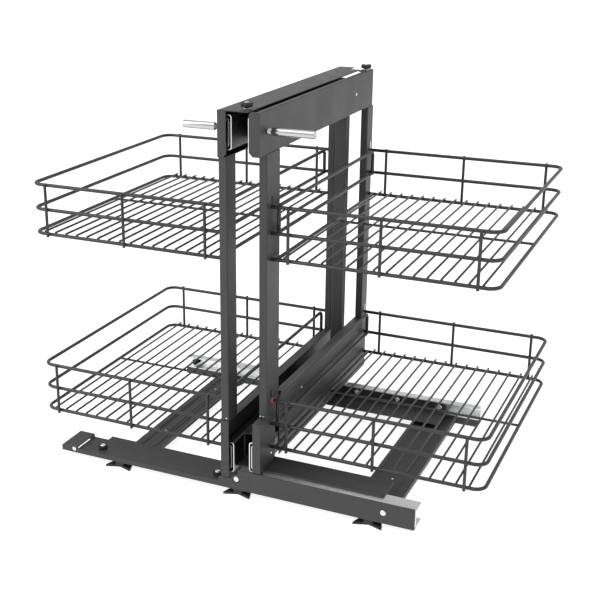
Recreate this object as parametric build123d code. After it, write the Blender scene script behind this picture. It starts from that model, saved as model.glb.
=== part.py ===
"""Blind corner pull-out organizer for a kitchen base cabinet.

A steel base stands on the cabinet floor. A carriage runs sideways on it in two tracks.
Two frames pull forward on full-extension slides, and each frame carries two wire baskets.
Millimetres. X to the right, Y to the rear, Z up; the origin is on the floor, in the middle.
"""
import os
from math import cos, radians, sin

from build123d import *

os.makedirs("parts", exist_ok=True)

# Feet and base
front_y = -250.0
foot_height = 10.0
foot_span = 50.0
foot_notch = 8.5
foot_sole = 4.0
foot_boss_width = 18.0
foot_overhang = 6.3
base_sheet = 1.5
bar_sheet = 2.0
bar_height = 34.0
bar_hem = 4.0
bar_face_rise = 1.8
bar_left_x = 24.5
bar_right_x = 294.5
plate_height = 8.0
left_plate_x = -316.0
left_plate_depth = 67.0
end_box_length = 32.5
end_box_depth = 56.0
end_box_height = 12.0
end_box_bend = 4.0
end_box_hole_r = 4.0
end_box_hole_inset = 8.0
bracket_left_x = -40.0
bracket_step_x = -5.0
bracket_low_height = 18.0
bracket_tongue = 17.5
screw_recess_r = 8.5
screw_recess_x = -8.0
notch_width = 30.0
notch_depth = 14.0
left_cross_x = -212.5
left_cross_width = 50.0
right_cross_x = 217.5
right_cross_width = 70.0
ridge_height = 1.0
ridge_width = 5.0
cross_slot_width = 3.0
floor_hole_r = 2.6
floor_hole_front_y = -120.0
floor_hole_pitch_y = 200.0
front_foot_xs = (-232.0, -5.5, 220.5)

# Tracks
track_sheet = 1.5
front_track_left_x = -5.0
front_track_depth = 29.0
rear_track_y = 144.0
rear_track_depth = 18.0
rear_track_height = 22.0
rear_track_left_x = -309.5
rear_bar_height = 14.0
bumper_r = 6.0
bumper_gap = 2.5
track_hole_r = 2.5
track_hole_x = -243.0

# Screws and rivets
screw_head_r = 4.6
screw_head_height = 1.8
screw_shank_r = 2.5
screw_clearance = 0.1
dome_share = 0.6
bar_screw_x = 244.3
bar_screw_height = 18.7
bush_r = 8.0
bush_height = 5.0
bush_edge = 1.75
plate_screw_left_x = -277.5
plate_screw_right_x = -52.5
plate_screw_y = -228.0
rivet_r = 2.6
rivet_height = 1.0
small_rivet_r = 1.3
small_rivet_height = 0.5
small_rivet_rise = 4.3
right_small_rivet_inset = 3.0
right_small_rivet_pitch = 5.0
left_small_rivet_inset = 9.5
plate_rivet_setback = 95.0
plate_rivet_drop = 26.0
rear_rivet_setback = 92.0
rear_rivet_drop = 88.0
channel_rivet_setback = 94.0
bracket_rivet_setback = 16.4
bracket_rivet_rise = 18.4

# Carriage
ride_clearance = 0.5
wing_sheet = 2.0
wing_right_x = 238.5
wing_front_gap = 18.0
wing_depth = 52.0
wing_corner_r = 2.5
leg_corner_r = 6.0
pass_clearance = 1.5
beam_height = 46.0
beam_wall = 2.0
right_lower_slide_rise = 26.9
left_lower_slide_rise = 17.2
lower_beam_front_y = -205.0
upper_beam_front_y = -165.0
upright_y = 178.0
upright_width = 22.0
upright_depth = 17.0
rear_wing_lift = 2.0
rear_wing_width = 57.0
rear_wing_left_x = -84.0
rear_wing_right_x = 233.0
rear_wing_emboss_inset = 15.0
rear_wing_gap = 1.5
leg_gap = 3.0
riser_width = 24.0
riser_depth = 36.0
carriage_travel = 200.0

# Rollers in the tracks
roller_clearance = 0.2
roller_width = 9.0
roller_rim = 1.0
axle_r = 3.0
axle_clearance = 0.05
axle_head_r = 5.0
axle_head_height = 1.8
axle_clip = 1.0
axle_end_play = 0.3
front_roller_x = 199.5
front_roller_pitch = 28.0
rear_roller_x = 58.0
rear_roller_pitch = 81.0

# Ball-bearing slides
slide_height = 53.0
slide_thick = 19.1
slide_length = 350.0
slide_sheet = 1.5
slide_bend = 4.5
middle_sheet = 1.2
middle_web_gap = 2.5
outer_flange = 13.0
middle_flange = 11.0
inner_flange = 11.0
ball_d = 2.8
ball_clearance = 0.2
ball_pitch = 12.0
ball_row = 8
retainer_width = 5.0
retainer_thick = 1.0
upper_slide_drop = 34.0
left_slide_setback = 7.0
right_slide_setback = 3.0

# Frames
frame_outer_x = 35.0
frame_sheet = 1.5
frame_bend = 2.0
frame_top_z = 633.5
channel_rear_setback = 5.6
post_width = 13.5
right_channel_height = 66.5
right_flange_width = 18.3
right_lip_width = 7.0
right_tab_width = 17.0
right_tab_length = 37.0
right_front_post_setback = 25.0
right_front_post_depth = 48.4
right_slot_inset = 18.3
right_rear_post_depth = 28.0
right_bracket_height = 86.0
right_bracket_depth = 60.0
right_bracket_flange_width = 13.2
right_plate_setback = 78.0
right_plate_height = 109.0
plate_chamfer = 14.0
groove_width = 6.5
groove_depth = 0.7
groove_end_gap = 12.0
upper_groove_drop = 30.0
lower_groove_drop = 71.0
left_channel_height = 71.5
left_flange_width = 14.0
left_cover_width = 51.0
left_cover_step = 26.0
left_cover_step_width = 30.0
left_cover_reach = 8.0
left_front_post_setback = 2.3
left_post_depth = 32.0
left_slot_inset = 13.5
left_rail_clearance = 2.0
left_rail_height = 100.0
left_rail_notch_gap = 19.0
corner_cut = 6.0

# Handle pins and knobs
pin_r = 6.0
pin_edge = 1.5
pin_neck_r = 4.2
pin_neck = 6.0
right_pin_setback = 30.0
right_pin_drop = 32.0
right_pin_length = 75.0
left_pin_setback = 8.0
left_pin_drop = 26.5
left_pin_length = 60.0
knob_r = 10.0
knob_height = 4.5
knob_edge = 0.7
knob_lobes = 6
knob_scallop_r = 3.0
knob_scallop_reach = 1.0
knob_stem_r = 3.8
knob_stem_clearance = 0.05
knob_lift = 5.0
knob_collar_r = 5.0
knob_collar = 1.2
knob_play = 0.3
knob_insert_r = 3.2
knob_insert = 1.0
front_knob_inset = 12.0
front_knob_setback = 21.0
rear_knob_inset = 7.0
rear_knob_setback = 20.0

# Wire baskets
wire_d = 6.0
upright_d = 5.0
rod_d = 3.6
cross_wire_d = 4.4
basket_outer_x = 390.0
basket_depth = 455.0
basket_corner_r = 18.0
upper_basket_drop = 149.8
lower_basket_rise = 115.5
ring_step = 41.8
basket_upright_inset = 29.0
basket_upright_pitch = 147.0
basket_upright_count = 3
upright_over = 3.0
upright_under = 4.0
inner_rail_gap = 7.8
inner_rail_end = 10.0
rod_inset = 21.5
rod_pitch = 20.6
rod_front_overhang = 1.0
rod_rear_overhang = 5.5
cross_wire_share = 0.54
hook_depth = 3.5
hook_clearance = 0.3
hook_slot_height = 20.0
cap_r = 4.6
cap_clearance = 0.3

# Levels and places that follow from the sizes above
bar_top_z = foot_height + bar_height
bar_face_top_z = bar_top_z + bar_face_rise
bar_screw_z = foot_height + bar_screw_height
bracket_low_z = foot_height + bracket_low_height
plate_top_z = foot_height + plate_height
track_floor_z = foot_height + bar_hem
rear_track_z = foot_height + rear_bar_height
rear_track_rear_y = rear_track_y + rear_track_depth
front_track_rear_y = front_y + bar_sheet + front_track_depth
bumper_x = rear_wing_left_x - carriage_travel - bumper_gap - bumper_r

wing_z = bar_top_z + ride_clearance
beam_z = wing_z + wing_sheet
beam_half = frame_outer_x - frame_sheet - slide_thick
beam_top_z = beam_z + beam_height
upper_slide_z = frame_top_z - upper_slide_drop
upper_beam_z = upper_slide_z - beam_height / 2
rear_wing_z = rear_track_z + rear_wing_lift
rear_wing_front_y = rear_track_y - rear_wing_width
rear_wing_emboss_y = rear_track_y - rear_wing_emboss_inset

front_leg_y = front_track_rear_y + leg_gap
front_leg_left_x = front_roller_x - 2 * axle_head_r
rear_leg_y = rear_track_y + wing_sheet
front_roller_z = (track_floor_z + bar_top_z) / 2
rear_roller_z = rear_track_z + rear_track_height / 2
front_roller_r = (bar_top_z - track_floor_z) / 2 - track_sheet - roller_clearance
rear_roller_r = rear_track_height / 2 - track_sheet - roller_clearance
front_roller_y = (front_y + bar_sheet + track_sheet + front_track_rear_y) / 2
rear_roller_y = rear_leg_y + wing_sheet + axle_head_height / 2 + roller_width / 2

# Slide sections on the right-hand side: u runs from the beam to the frame wall, v is the height
# from the middle of the slide
right_lower_slide_z = beam_z + right_lower_slide_rise
left_lower_slide_z = beam_z + left_lower_slide_rise
right_slides_y = front_y + right_slide_setback
left_slides_y = front_y + left_slide_setback
outer_inside = slide_height / 2 - slide_sheet
ball_room = ball_d + 2 * ball_clearance
middle_half = outer_inside - ball_room
middle_inside = middle_half - middle_sheet
inner_half = middle_inside - ball_room
outer_row_v = outer_inside - ball_room / 2
inner_row_v = middle_inside - ball_room / 2
middle_web_u = slide_sheet + middle_web_gap
outer_row_u = (middle_web_u + outer_flange) / 2 + retainer_thick
inner_row_u = (slide_thick - inner_flange + middle_web_u + middle_flange) / 2

wall_x = frame_outer_x - frame_sheet
post_x = frame_outer_x - post_width
right_frame_bottom_z = beam_z + pass_clearance
right_bracket_top_z = right_frame_bottom_z + right_bracket_height
right_plate_top_z = right_frame_bottom_z + right_plate_height
upper_groove_z = right_plate_top_z - upper_groove_drop
lower_groove_z = right_plate_top_z - lower_groove_drop
right_channel_z = frame_top_z - right_channel_height
left_channel_z = frame_top_z - left_channel_height
left_rail_bottom_z = bracket_low_z + left_rail_clearance
left_rail_top_z = left_rail_bottom_z + left_rail_height
left_rail_notch_y = rear_track_y - left_rail_notch_gap

right_front_post_y = front_y + right_front_post_setback
right_basket_front_y = right_front_post_y + right_slot_inset
rear_y = right_basket_front_y + basket_depth + wire_d / 2 + hook_clearance + frame_sheet
right_rear_post_y = rear_y - right_rear_post_depth
channel_rear_y = rear_y - channel_rear_setback
left_cover_rear_y = channel_rear_y + left_cover_reach
right_plate_y = front_y + right_plate_setback
left_front_post_y = front_y + left_front_post_setback
left_basket_front_y = left_front_post_y + left_slot_inset
left_rear_post_y = left_front_post_y + basket_depth

front_knob_x = left_cover_width - frame_outer_x - front_knob_inset
front_knob_y = front_y + front_knob_setback
rear_knob_x = frame_outer_x - rear_knob_inset
rear_knob_y = channel_rear_y - rear_knob_setback
upper_basket_z = frame_top_z - upper_basket_drop
lower_basket_z = beam_z + lower_basket_rise
basket_levels = (upper_basket_z, lower_basket_z)
ring_x = basket_outer_x - wire_d / 2
rail_x = frame_outer_x + inner_rail_gap
cap_length = inner_rail_gap - wire_d / 2 - cap_clearance


def block(x0, x1, y0, y1, z0, z1):
    """A box between two opposite corners."""
    return Pos((x0 + x1) / 2, (y0 + y1) / 2, (z0 + z1) / 2) * Box(x1 - x0, y1 - y0, z1 - z0)


def along_x(section, x0, x1):
    """A (Y, Z) section drawn out from x0 to x1."""
    return extrude(Plane.YZ.offset(x0) * section, amount=x1 - x0)


def along_y(section, y0, y1):
    """An (X, Z) section drawn out from y0 to y1."""
    return extrude(Plane.XZ.offset(-y1) * section, amount=y1 - y0)


def along_z(section, z0, z1):
    """An (X, Y) section drawn out from z0 to z1."""
    return extrude(Plane.XY.offset(z0) * section, amount=z1 - z0)


def outline(*points):
    """A flat face with straight sides."""
    return make_face(Polyline(*points, close=True))


def folded(points, sheet, bend):
    """The section of a bent sheet. The points are its outside corners, with the material on
    the left of the path."""
    outer = FilletPolyline(*points, radius=bend)
    return make_face(offset(outer, amount=sheet, side=Side.LEFT, closed=True))


def channel(tip, web, low, high, sheet, bend):
    """A channel section with its web at one side and both flanges out to the tips."""
    ends = (high, low) if tip > web else (low, high)
    points = [(tip, ends[0]), (web, ends[0]), (web, ends[1]), (tip, ends[1])]
    return folded(points, sheet, bend)


def cylinder_x(x0, x1, y, z, r):
    return Pos((x0 + x1) / 2, y, z) * Rot(0, 90, 0) * Cylinder(r, x1 - x0)


def cylinder_y(x, y0, y1, z, r):
    return Pos(x, (y0 + y1) / 2, z) * Rot(90, 0, 0) * Cylinder(r, y1 - y0)


def cylinder_z(x, y, z0, z1, r):
    return Pos(x, y, (z0 + z1) / 2) * Cylinder(r, z1 - z0)


def solids_of(*shapes):
    """Separate solids kept side by side in one node."""
    return Compound(children=[solid for shape in shapes for solid in shape.solids()])


def mirrored(shape):
    """The same shape on the other side of the middle plane."""
    return mirror(shape, about=Plane.YZ)


def save(name, shape):
    export_step(shape, "parts/" + name + ".step")


# Base: front bar, middle bracket, left plate with its end box
def front_bar():
    x0, x1 = bar_left_x, bar_right_x
    face = block(x0, x1, front_y, front_y + bar_sheet, foot_height, bar_face_top_z)
    hem = block(x0, x1, front_y, front_track_rear_y, foot_height, track_floor_z)
    hole = cylinder_y(bar_screw_x, front_y, front_y + bar_sheet, bar_screw_z,
                      screw_shank_r + screw_clearance)
    return face + hem - hole


def middle_bracket():
    face = outline((bracket_left_x, foot_height), (bar_left_x, foot_height),
                   (bar_left_x, bar_face_top_z), (bracket_step_x, bar_face_top_z),
                   (bracket_step_x, bracket_low_z), (bracket_left_x, bracket_low_z))
    face += Pos(screw_recess_x, bar_screw_z) * Circle(screw_recess_r)
    shape = along_y(face, front_y, front_y + bar_sheet)
    shape += block(bracket_left_x, bar_left_x, front_y, front_track_rear_y, foot_height,
                   track_floor_z)
    recess = cylinder_y(screw_recess_x, front_y, front_y + bar_sheet / 2, bar_screw_z,
                        screw_recess_r - bar_sheet)
    hole = cylinder_y(screw_recess_x, front_y, front_y + bar_sheet, bar_screw_z,
                      screw_shank_r + screw_clearance)
    return shape - recess - hole


def left_plate():
    rear = front_y + left_plate_depth
    top = block(left_plate_x, bracket_left_x, front_y, rear, plate_top_z - base_sheet, plate_top_z)
    top += block(bracket_left_x, bracket_left_x + bracket_tongue, front_y + bar_sheet, rear,
                 plate_top_z - base_sheet, plate_top_z)
    front_lip = block(left_plate_x, bracket_left_x, front_y, front_y + base_sheet, foot_height,
                      plate_top_z)
    rear_lip = block(left_plate_x + notch_width, bracket_left_x + bracket_tongue,
                     rear - base_sheet, rear, foot_height, plate_top_z)
    notch = block(left_plate_x, left_plate_x + notch_width, rear - notch_depth, rear,
                  foot_height, plate_top_z)
    shape = top + front_lip + rear_lip - notch
    for x in (plate_screw_left_x, plate_screw_right_x):
        shape -= cylinder_z(x, plate_screw_y, foot_height, plate_top_z,
                            screw_shank_r + screw_clearance)
    return shape


def end_box():
    x0 = left_plate_x - end_box_length
    x1 = left_plate_x
    rear = front_y + end_box_depth
    top = foot_height + end_box_height
    shape = block(x0, x1, front_y, rear, foot_height, top)
    shape = fillet(shape.edges().filter_by(Axis.Y).group_by(Axis.Z)[-1].sort_by(Axis.X)[0],
                   end_box_bend)
    shape -= block(x0 + base_sheet, x1, front_y + base_sheet, rear - base_sheet, foot_height,
                   top - base_sheet)
    shape -= cylinder_y(x1 - end_box_hole_inset, front_y, front_y + base_sheet,
                        foot_height + end_box_height / 2, end_box_hole_r)
    return shape


def cross_plate(x, width, y0):
    """A folded plate from the front of the base to the rear bar."""
    half = width / 2
    rim = outline((x - half, foot_height), (x + half, foot_height), (x + half, plate_top_z),
                  (x - half, plate_top_z))
    hollow = outline((x - half + base_sheet, foot_height), (x + half - base_sheet, foot_height),
                     (x + half - base_sheet, plate_top_z - base_sheet),
                     (x - half + base_sheet, plate_top_z - base_sheet))
    shape = along_y(rim - hollow, y0, rear_track_y)
    for row in range(2):
        y = floor_hole_front_y + row * floor_hole_pitch_y
        shape -= cylinder_z(x, y, foot_height, plate_top_z + ridge_height, floor_hole_r)
    return shape


def left_cross_plate():
    y0 = front_y + left_plate_depth
    shape = cross_plate(left_cross_x, left_cross_width, y0)
    for side in (-1, 1):
        x = left_cross_x + side * left_cross_width / 4
        shape += block(x - ridge_width / 2, x + ridge_width / 2, y0, rear_track_y, plate_top_z,
                       plate_top_z + ridge_height)
    return shape


def right_cross_plate():
    shape = cross_plate(right_cross_x, right_cross_width, front_track_rear_y)
    x = right_cross_x + right_cross_width / 4
    groove = block(x, x + cross_slot_width, front_track_rear_y, rear_track_y,
                   plate_top_z - base_sheet / 2, plate_top_z)
    return shape - groove


def rear_bar():
    shape = block(rear_track_left_x, bar_right_x, rear_track_y, rear_track_rear_y, foot_height,
                  rear_track_z)
    hollow = block(rear_track_left_x, bar_right_x, rear_track_y + base_sheet,
                   rear_track_rear_y - base_sheet, foot_height, rear_track_z - base_sheet)
    return shape - hollow


# Tracks: zinc channels open towards each other
def front_track():
    web_y = front_y + bar_sheet
    section = channel(front_track_rear_y, web_y, track_floor_z, bar_top_z, track_sheet,
                      track_sheet)
    shape = along_x(section, front_track_left_x, bar_right_x + track_sheet)
    return shape - cylinder_y(bar_screw_x, web_y, web_y + track_sheet, bar_screw_z,
                              screw_shank_r + screw_clearance)


def rear_track():
    top = rear_track_z + rear_track_height
    section = channel(rear_track_y, rear_track_rear_y, rear_track_z, top, track_sheet,
                      track_sheet)
    shape = along_x(section, rear_track_left_x, bar_right_x)
    return shape - cylinder_y(track_hole_x, rear_track_y, rear_track_rear_y,
                              rear_track_z + rear_track_height / 2, track_hole_r)


def track_bumper():
    mid_z = rear_track_z + rear_track_height / 2
    web_y = rear_track_rear_y - track_sheet
    return cylinder_y(bumper_x, rear_track_y + track_sheet, web_y, mid_z, bumper_r)


def foot(x, y):
    """A flat foot with a shallow notch in each side, and a boss up to what it carries."""
    half = foot_span / 2
    waist = half - foot_notch
    plan = outline((-half, -half), (0, -waist), (half, -half), (waist, 0), (half, half), (0, waist),
                   (-half, half), (-waist, 0))
    boss_half = foot_boss_width / 2
    reach = half - foot_overhang
    boss = block(-boss_half, boss_half, -reach, reach, foot_sole, foot_height)
    return Pos(x, y, 0) * (along_z(plan, 0, foot_sole) + boss)


def feet():
    front_foot_y = front_y - foot_overhang + foot_span / 2
    rear_foot_y = rear_track_rear_y - foot_span / 2
    front = [foot(x, front_foot_y) for x in front_foot_xs]
    rear = [foot(x, rear_foot_y) for x in (left_cross_x, right_cross_x)]
    return solids_of(*front, *rear)


def base_screws():
    """Round-head screws: two through the front bar and two down through the left plate."""
    heads = []
    for x in (screw_recess_x, bar_screw_x):
        seat_y = front_y + (bar_sheet / 2 if x == screw_recess_x else 0)
        head = cylinder_y(x, seat_y - screw_head_height, seat_y, bar_screw_z, screw_head_r)
        head = fillet(head.edges().group_by(Axis.Y)[0], screw_head_height * dome_share)
        shank_end = front_y + bar_sheet + (0 if x == screw_recess_x else track_sheet)
        heads.append(head + cylinder_y(x, seat_y, shank_end, bar_screw_z, screw_shank_r))
    for x in (plate_screw_left_x, plate_screw_right_x):
        seat_z = plate_top_z + bush_height
        head = cylinder_z(x, plate_screw_y, seat_z, seat_z + screw_head_height, screw_head_r)
        head = fillet(head.edges().group_by(Axis.Z)[-1], screw_head_height * dome_share)
        heads.append(head + cylinder_z(x, plate_screw_y, foot_height / 2, seat_z, screw_shank_r))
    return solids_of(*heads)


def rubber_bushes():
    bushes = []
    for x in (plate_screw_left_x, plate_screw_right_x):
        bush = cylinder_z(x, plate_screw_y, plate_top_z, plate_top_z + bush_height, bush_r)
        bush = fillet(bush.edges().group_by(Axis.Z)[-1], bush_edge)
        hole = cylinder_z(x, plate_screw_y, plate_top_z, plate_top_z + bush_height,
                          screw_shank_r)
        bushes.append(bush - hole)
    return solids_of(*bushes)


# Carriage: two beams and an upright, carried by a front wing and a rear wing
def beam(front, z):
    rear = upright_y + upright_depth
    inside = beam_half - beam_wall
    tube = block(-beam_half, beam_half, front, rear, z, z + beam_height)
    return tube - block(-inside, inside, front, rear, z + beam_wall, z + beam_height - beam_wall)


def carriage_upright():
    """A channel that opens to the rear, between the two beams."""
    half = upright_width / 2
    rear = upright_y + upright_depth
    section = folded([(-half, rear), (-half, upright_y), (half, upright_y), (half, rear)],
                     beam_wall, beam_wall)
    return along_z(section, beam_top_z, upper_beam_z)


def front_wing():
    """A flat plate on the front track, with a leg behind the track that holds two rollers."""
    y0 = front_y + wing_front_gap
    y1 = y0 + wing_depth
    plate = block(-beam_half, wing_right_x, y0, y1, wing_z, beam_z)
    corner = plate.edges().filter_by(Axis.Z).group_by(Axis.X)[-1].sort_by(Axis.Y)[0]
    plate = fillet(corner, wing_corner_r)
    leg = block(front_leg_left_x, wing_right_x, front_leg_y, front_leg_y + wing_sheet,
                plate_top_z + wing_sheet, wing_z)
    shape = plate + leg
    for index in range(2):
        x = front_roller_x + index * front_roller_pitch
        shape -= cylinder_y(x, front_leg_y, front_leg_y + wing_sheet, front_roller_z, axle_r)
    return shape


def rear_wing():
    """An angle in the mouth of the rear track that holds three rollers, with a riser to the beam
    and a bent stop at its left end."""
    x0, x1 = rear_wing_left_x, rear_wing_right_x
    top = rear_track_z + rear_track_height - track_sheet - rear_wing_gap
    shape = block(x0, x1, rear_wing_front_y, rear_leg_y + wing_sheet, rear_wing_z,
                  rear_wing_z + wing_sheet)
    leg = block(x0, x1, rear_leg_y, rear_leg_y + wing_sheet, rear_wing_z, top)
    leg = fillet(leg.edges().filter_by(Axis.Y).group_by(Axis.Z)[-1].sort_by(Axis.X)[-1],
                 leg_corner_r)
    shape += leg
    shape += block(x0, x0 + wing_sheet, rear_leg_y, rear_track_rear_y - 2 * track_sheet,
                   rear_wing_z, top)
    emboss = block(x0, x1, rear_wing_emboss_y, rear_wing_emboss_y + ridge_width,
                   rear_wing_z + wing_sheet, rear_wing_z + wing_sheet + ridge_height)
    shape += emboss
    half = riser_width / 2
    riser_y = rear_wing_emboss_y - riser_depth
    riser = block(-half, half, riser_y, rear_wing_emboss_y, rear_wing_z, beam_z)
    inside = block(-half + wing_sheet, half - wing_sheet, riser_y, rear_wing_emboss_y,
                   rear_wing_z + wing_sheet, beam_z - wing_sheet)
    shape = shape + riser - inside
    for index in range(3):
        x = rear_roller_x + index * rear_roller_pitch
        shape -= cylinder_y(x, rear_leg_y, rear_leg_y + wing_sheet, rear_roller_z, axle_r)
    return shape


def roller(x, y, z, r):
    """A wheel on a cross axle, with rounded rims and a running bore."""
    wheel = cylinder_y(x, y - roller_width / 2, y + roller_width / 2, z, r)
    wheel = fillet(wheel.edges().filter_by(GeomType.CIRCLE), roller_rim)
    bore = cylinder_y(x, y - roller_width / 2, y + roller_width / 2, z, axle_r + axle_clearance)
    return wheel - bore


def axle(x, z, head_y, leg_y, end_y):
    """A shoulder screw: its head on one side of the leg and its end cap past the roller."""
    way = 1 if end_y > head_y else -1
    shank_y = sorted((leg_y, end_y))
    pin = cylinder_y(x, shank_y[0], shank_y[1], z, axle_r)
    head = cylinder_y(x, *sorted((head_y, head_y + way * axle_head_height)), z, axle_head_r)
    cap = cylinder_y(x, *sorted((end_y, end_y + way * axle_clip)), z, axle_r + axle_clip)
    return pin + head + cap


def front_axles():
    head_y = front_leg_y + wing_sheet + axle_head_height
    end_y = front_roller_y - roller_width / 2 - axle_end_play
    return solids_of(*[axle(front_roller_x + index * front_roller_pitch, front_roller_z, head_y,
                            front_leg_y + wing_sheet, end_y) for index in range(2)])


def rear_axles():
    head_y = rear_leg_y - axle_head_height
    end_y = rear_roller_y + roller_width / 2 + axle_end_play
    return solids_of(*[axle(rear_roller_x + index * rear_roller_pitch, rear_roller_z, head_y,
                            rear_leg_y, end_y) for index in range(3)])


# Slides, drawn on the right-hand side
def slide_channel(u_web, u_tip, half, sheet, y0, z):
    """One member: a channel with its web at u_web and its flanges out to u_tip."""
    section = channel(beam_half + u_tip, beam_half + u_web, z - half, z + half, sheet, slide_bend)
    return along_y(section, y0, y0 + slide_length)


def slide_outer(y0, z):
    return slide_channel(0, outer_flange, slide_height / 2, slide_sheet, y0, z)


def slide_middle(y0, z):
    return slide_channel(middle_web_u, middle_web_u + middle_flange, middle_half, middle_sheet,
                         y0, z)


def slide_inner(y0, z):
    return slide_channel(slide_thick, slide_thick - inner_flange, inner_half, slide_sheet, y0, z)


def ball_strip(u, v, y0, z):
    """A row of balls held in their retainer strip."""
    x = beam_half + u
    length = ball_pitch * ball_row
    strip = block(x - retainer_width / 2, x + retainer_width / 2, y0, y0 + length,
                  z + v - retainer_thick / 2, z + v + retainer_thick / 2)
    for index in range(ball_row):
        y = y0 + (index + 0.5) * ball_pitch
        strip += Pos(x, y, z + v) * Sphere(ball_d / 2)
    return strip


def ball_rows(y0, z):
    """Two rows between the inner and middle members at the front, two behind them between the
    middle and outer members."""
    rear_y0 = y0 + slide_length - ball_pitch * ball_row
    rows = [ball_strip(inner_row_u, side * inner_row_v, y0, z) for side in (-1, 1)]
    rows += [ball_strip(outer_row_u, side * outer_row_v, rear_y0, z) for side in (-1, 1)]
    return rows


# Frames
def wire_slots(post, y, z_list, side):
    """Slots in a post's outboard wall that the top wires of the baskets hook into."""
    x0, x1 = sorted((side * wall_x, side * frame_outer_x))
    half = wire_d / 2 + hook_clearance
    for z in z_list:
        post -= block(x0, x1, y - half, y + half, z - wire_d / 2,
                      z - wire_d / 2 + hook_slot_height)
    return post


def post(side, y0, depth, z0, z1):
    """A channel post that opens to the rear."""
    y1 = y0 + depth
    corners = [(post_x, y1), (post_x, y0), (frame_outer_x, y0), (frame_outer_x, y1)]
    shape = along_z(folded(corners, frame_sheet, frame_bend), z0, z1)
    return shape if side > 0 else mirrored(shape)


def right_front_post():
    shape = post(1, right_front_post_y, right_front_post_depth, right_bracket_top_z,
                 right_channel_z)
    return wire_slots(shape, right_basket_front_y, basket_levels, 1)


def right_rear_post():
    shape = post(1, right_rear_post_y, right_rear_post_depth, right_plate_top_z, right_channel_z)
    return wire_slots(shape, right_basket_front_y + basket_depth, basket_levels, 1)


def left_front_post():
    shape = post(-1, left_front_post_y, left_post_depth, left_rail_top_z, left_channel_z)
    return wire_slots(shape, left_basket_front_y, basket_levels, -1)


def left_rear_post():
    shape = post(-1, left_rear_post_y, left_post_depth, left_rail_top_z, left_channel_z)
    return wire_slots(shape, left_basket_front_y + basket_depth, basket_levels, -1)


def front_flange(x_in, z0, z1, round_top, cut_bottom):
    """The bent front end of a channel, from x_in out to the frame's outboard face."""
    x_out = frame_outer_x
    face = outline((x_in, z0), (x_out, z0), (x_out, z1), (x_in, z1))
    shape = along_y(face, front_y, front_y + frame_sheet)
    inner_edges = shape.edges().filter_by(Axis.Y).group_by(Axis.X)[0].sort_by(Axis.Z)
    if round_top:
        shape = fillet(inner_edges[-1], round_top)
        inner_edges = shape.edges().filter_by(Axis.Y).group_by(Axis.X)[0].sort_by(Axis.Z)
    if cut_bottom:
        shape = chamfer(inner_edges[0], cut_bottom)
    return shape


def knob_hole(x, y):
    return cylinder_z(x, y, frame_top_z - frame_sheet, frame_top_z,
                      knob_stem_r + knob_stem_clearance)


def right_top_channel():
    lip_x = frame_outer_x - right_lip_width
    section = folded([(post_x, right_channel_z), (frame_outer_x, right_channel_z),
                      (frame_outer_x, frame_top_z), (lip_x, frame_top_z)],
                     frame_sheet, frame_bend)
    shape = along_y(section, front_y, channel_rear_y)
    shape += front_flange(frame_outer_x - right_flange_width, right_channel_z, frame_top_z,
                          corner_cut, corner_cut)
    tab = block(frame_outer_x - right_tab_width, lip_x, channel_rear_y - right_tab_length,
                channel_rear_y, frame_top_z - frame_sheet, frame_top_z)
    tab = fillet(tab.edges().filter_by(Axis.Z).group_by(Axis.X)[0], corner_cut)
    return shape + tab - knob_hole(rear_knob_x, rear_knob_y)


def left_top_cover():
    inner_x = frame_outer_x - left_cover_width
    section = folded([(post_x, left_channel_z), (frame_outer_x, left_channel_z),
                      (frame_outer_x, frame_top_z), (inner_x, frame_top_z)],
                     frame_sheet, frame_bend)
    shape = along_y(section, front_y, left_cover_rear_y)
    shape += front_flange(frame_outer_x - left_flange_width, left_channel_z, frame_top_z,
                          0, corner_cut)
    step_x = frame_outer_x - left_cover_step_width
    shape -= block(inner_x, step_x, left_cover_rear_y - left_cover_step, left_cover_rear_y,
                   frame_top_z - frame_sheet, frame_top_z)
    return mirrored(shape) - knob_hole(front_knob_x, front_knob_y)


def right_front_bracket():
    z0, z1 = right_frame_bottom_z, right_bracket_top_z
    rear = front_y + right_bracket_depth
    side = block(wall_x, frame_outer_x, front_y, rear, z0, z1)
    side = chamfer(side.edges().filter_by(Axis.X).group_by(Axis.Z)[0].sort_by(Axis.Y)[-1],
                   corner_cut)
    x_in = frame_outer_x - right_bracket_flange_width
    top = block(x_in, frame_outer_x, front_y, rear, z1 - frame_sheet, z1)
    return side + top + front_flange(x_in, z0, z1, 0, 0)


def right_bottom_plate():
    z0, z1 = right_frame_bottom_z, right_plate_top_z
    plate = block(wall_x, frame_outer_x, right_plate_y, rear_y, z0, z1)
    front_top = plate.edges().filter_by(Axis.X).group_by(Axis.Z)[-1].sort_by(Axis.Y)[0]
    plate = chamfer(front_top, plate_chamfer)
    flange = block(post_x, wall_x, right_plate_y + plate_chamfer, rear_y,
                   z1 - frame_sheet, z1)
    shape = plate + flange
    for z in (upper_groove_z, lower_groove_z):
        shape -= block(frame_outer_x - groove_depth, frame_outer_x, right_plate_y,
                       rear_y - groove_end_gap, z - groove_width / 2, z + groove_width / 2)
    return shape


def left_bottom_rail():
    z0, z1 = left_rail_bottom_z, left_rail_top_z
    inner_x = frame_outer_x - left_flange_width
    section = folded([(frame_outer_x, z0), (frame_outer_x, z1), (inner_x, z1)], frame_sheet,
                     frame_bend)
    shape = along_y(section, front_y, channel_rear_y)
    shape += front_flange(inner_x, z0, z1, 0, 0)
    notch = block(wall_x, frame_outer_x, left_rail_notch_y, channel_rear_y, z0,
                  right_frame_bottom_z)
    return mirrored(shape - notch)


def rivet_on_side(side, y, z, r):
    """A domed head on a frame's outboard face."""
    x = side * frame_outer_x
    head = cylinder_x(*sorted((x, x + side * rivet_height)), y, z, r)
    rim = head.edges().sort_by(Axis.X)[-1 if side > 0 else 0]
    return fillet(rim, rivet_height * dome_share)


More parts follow.
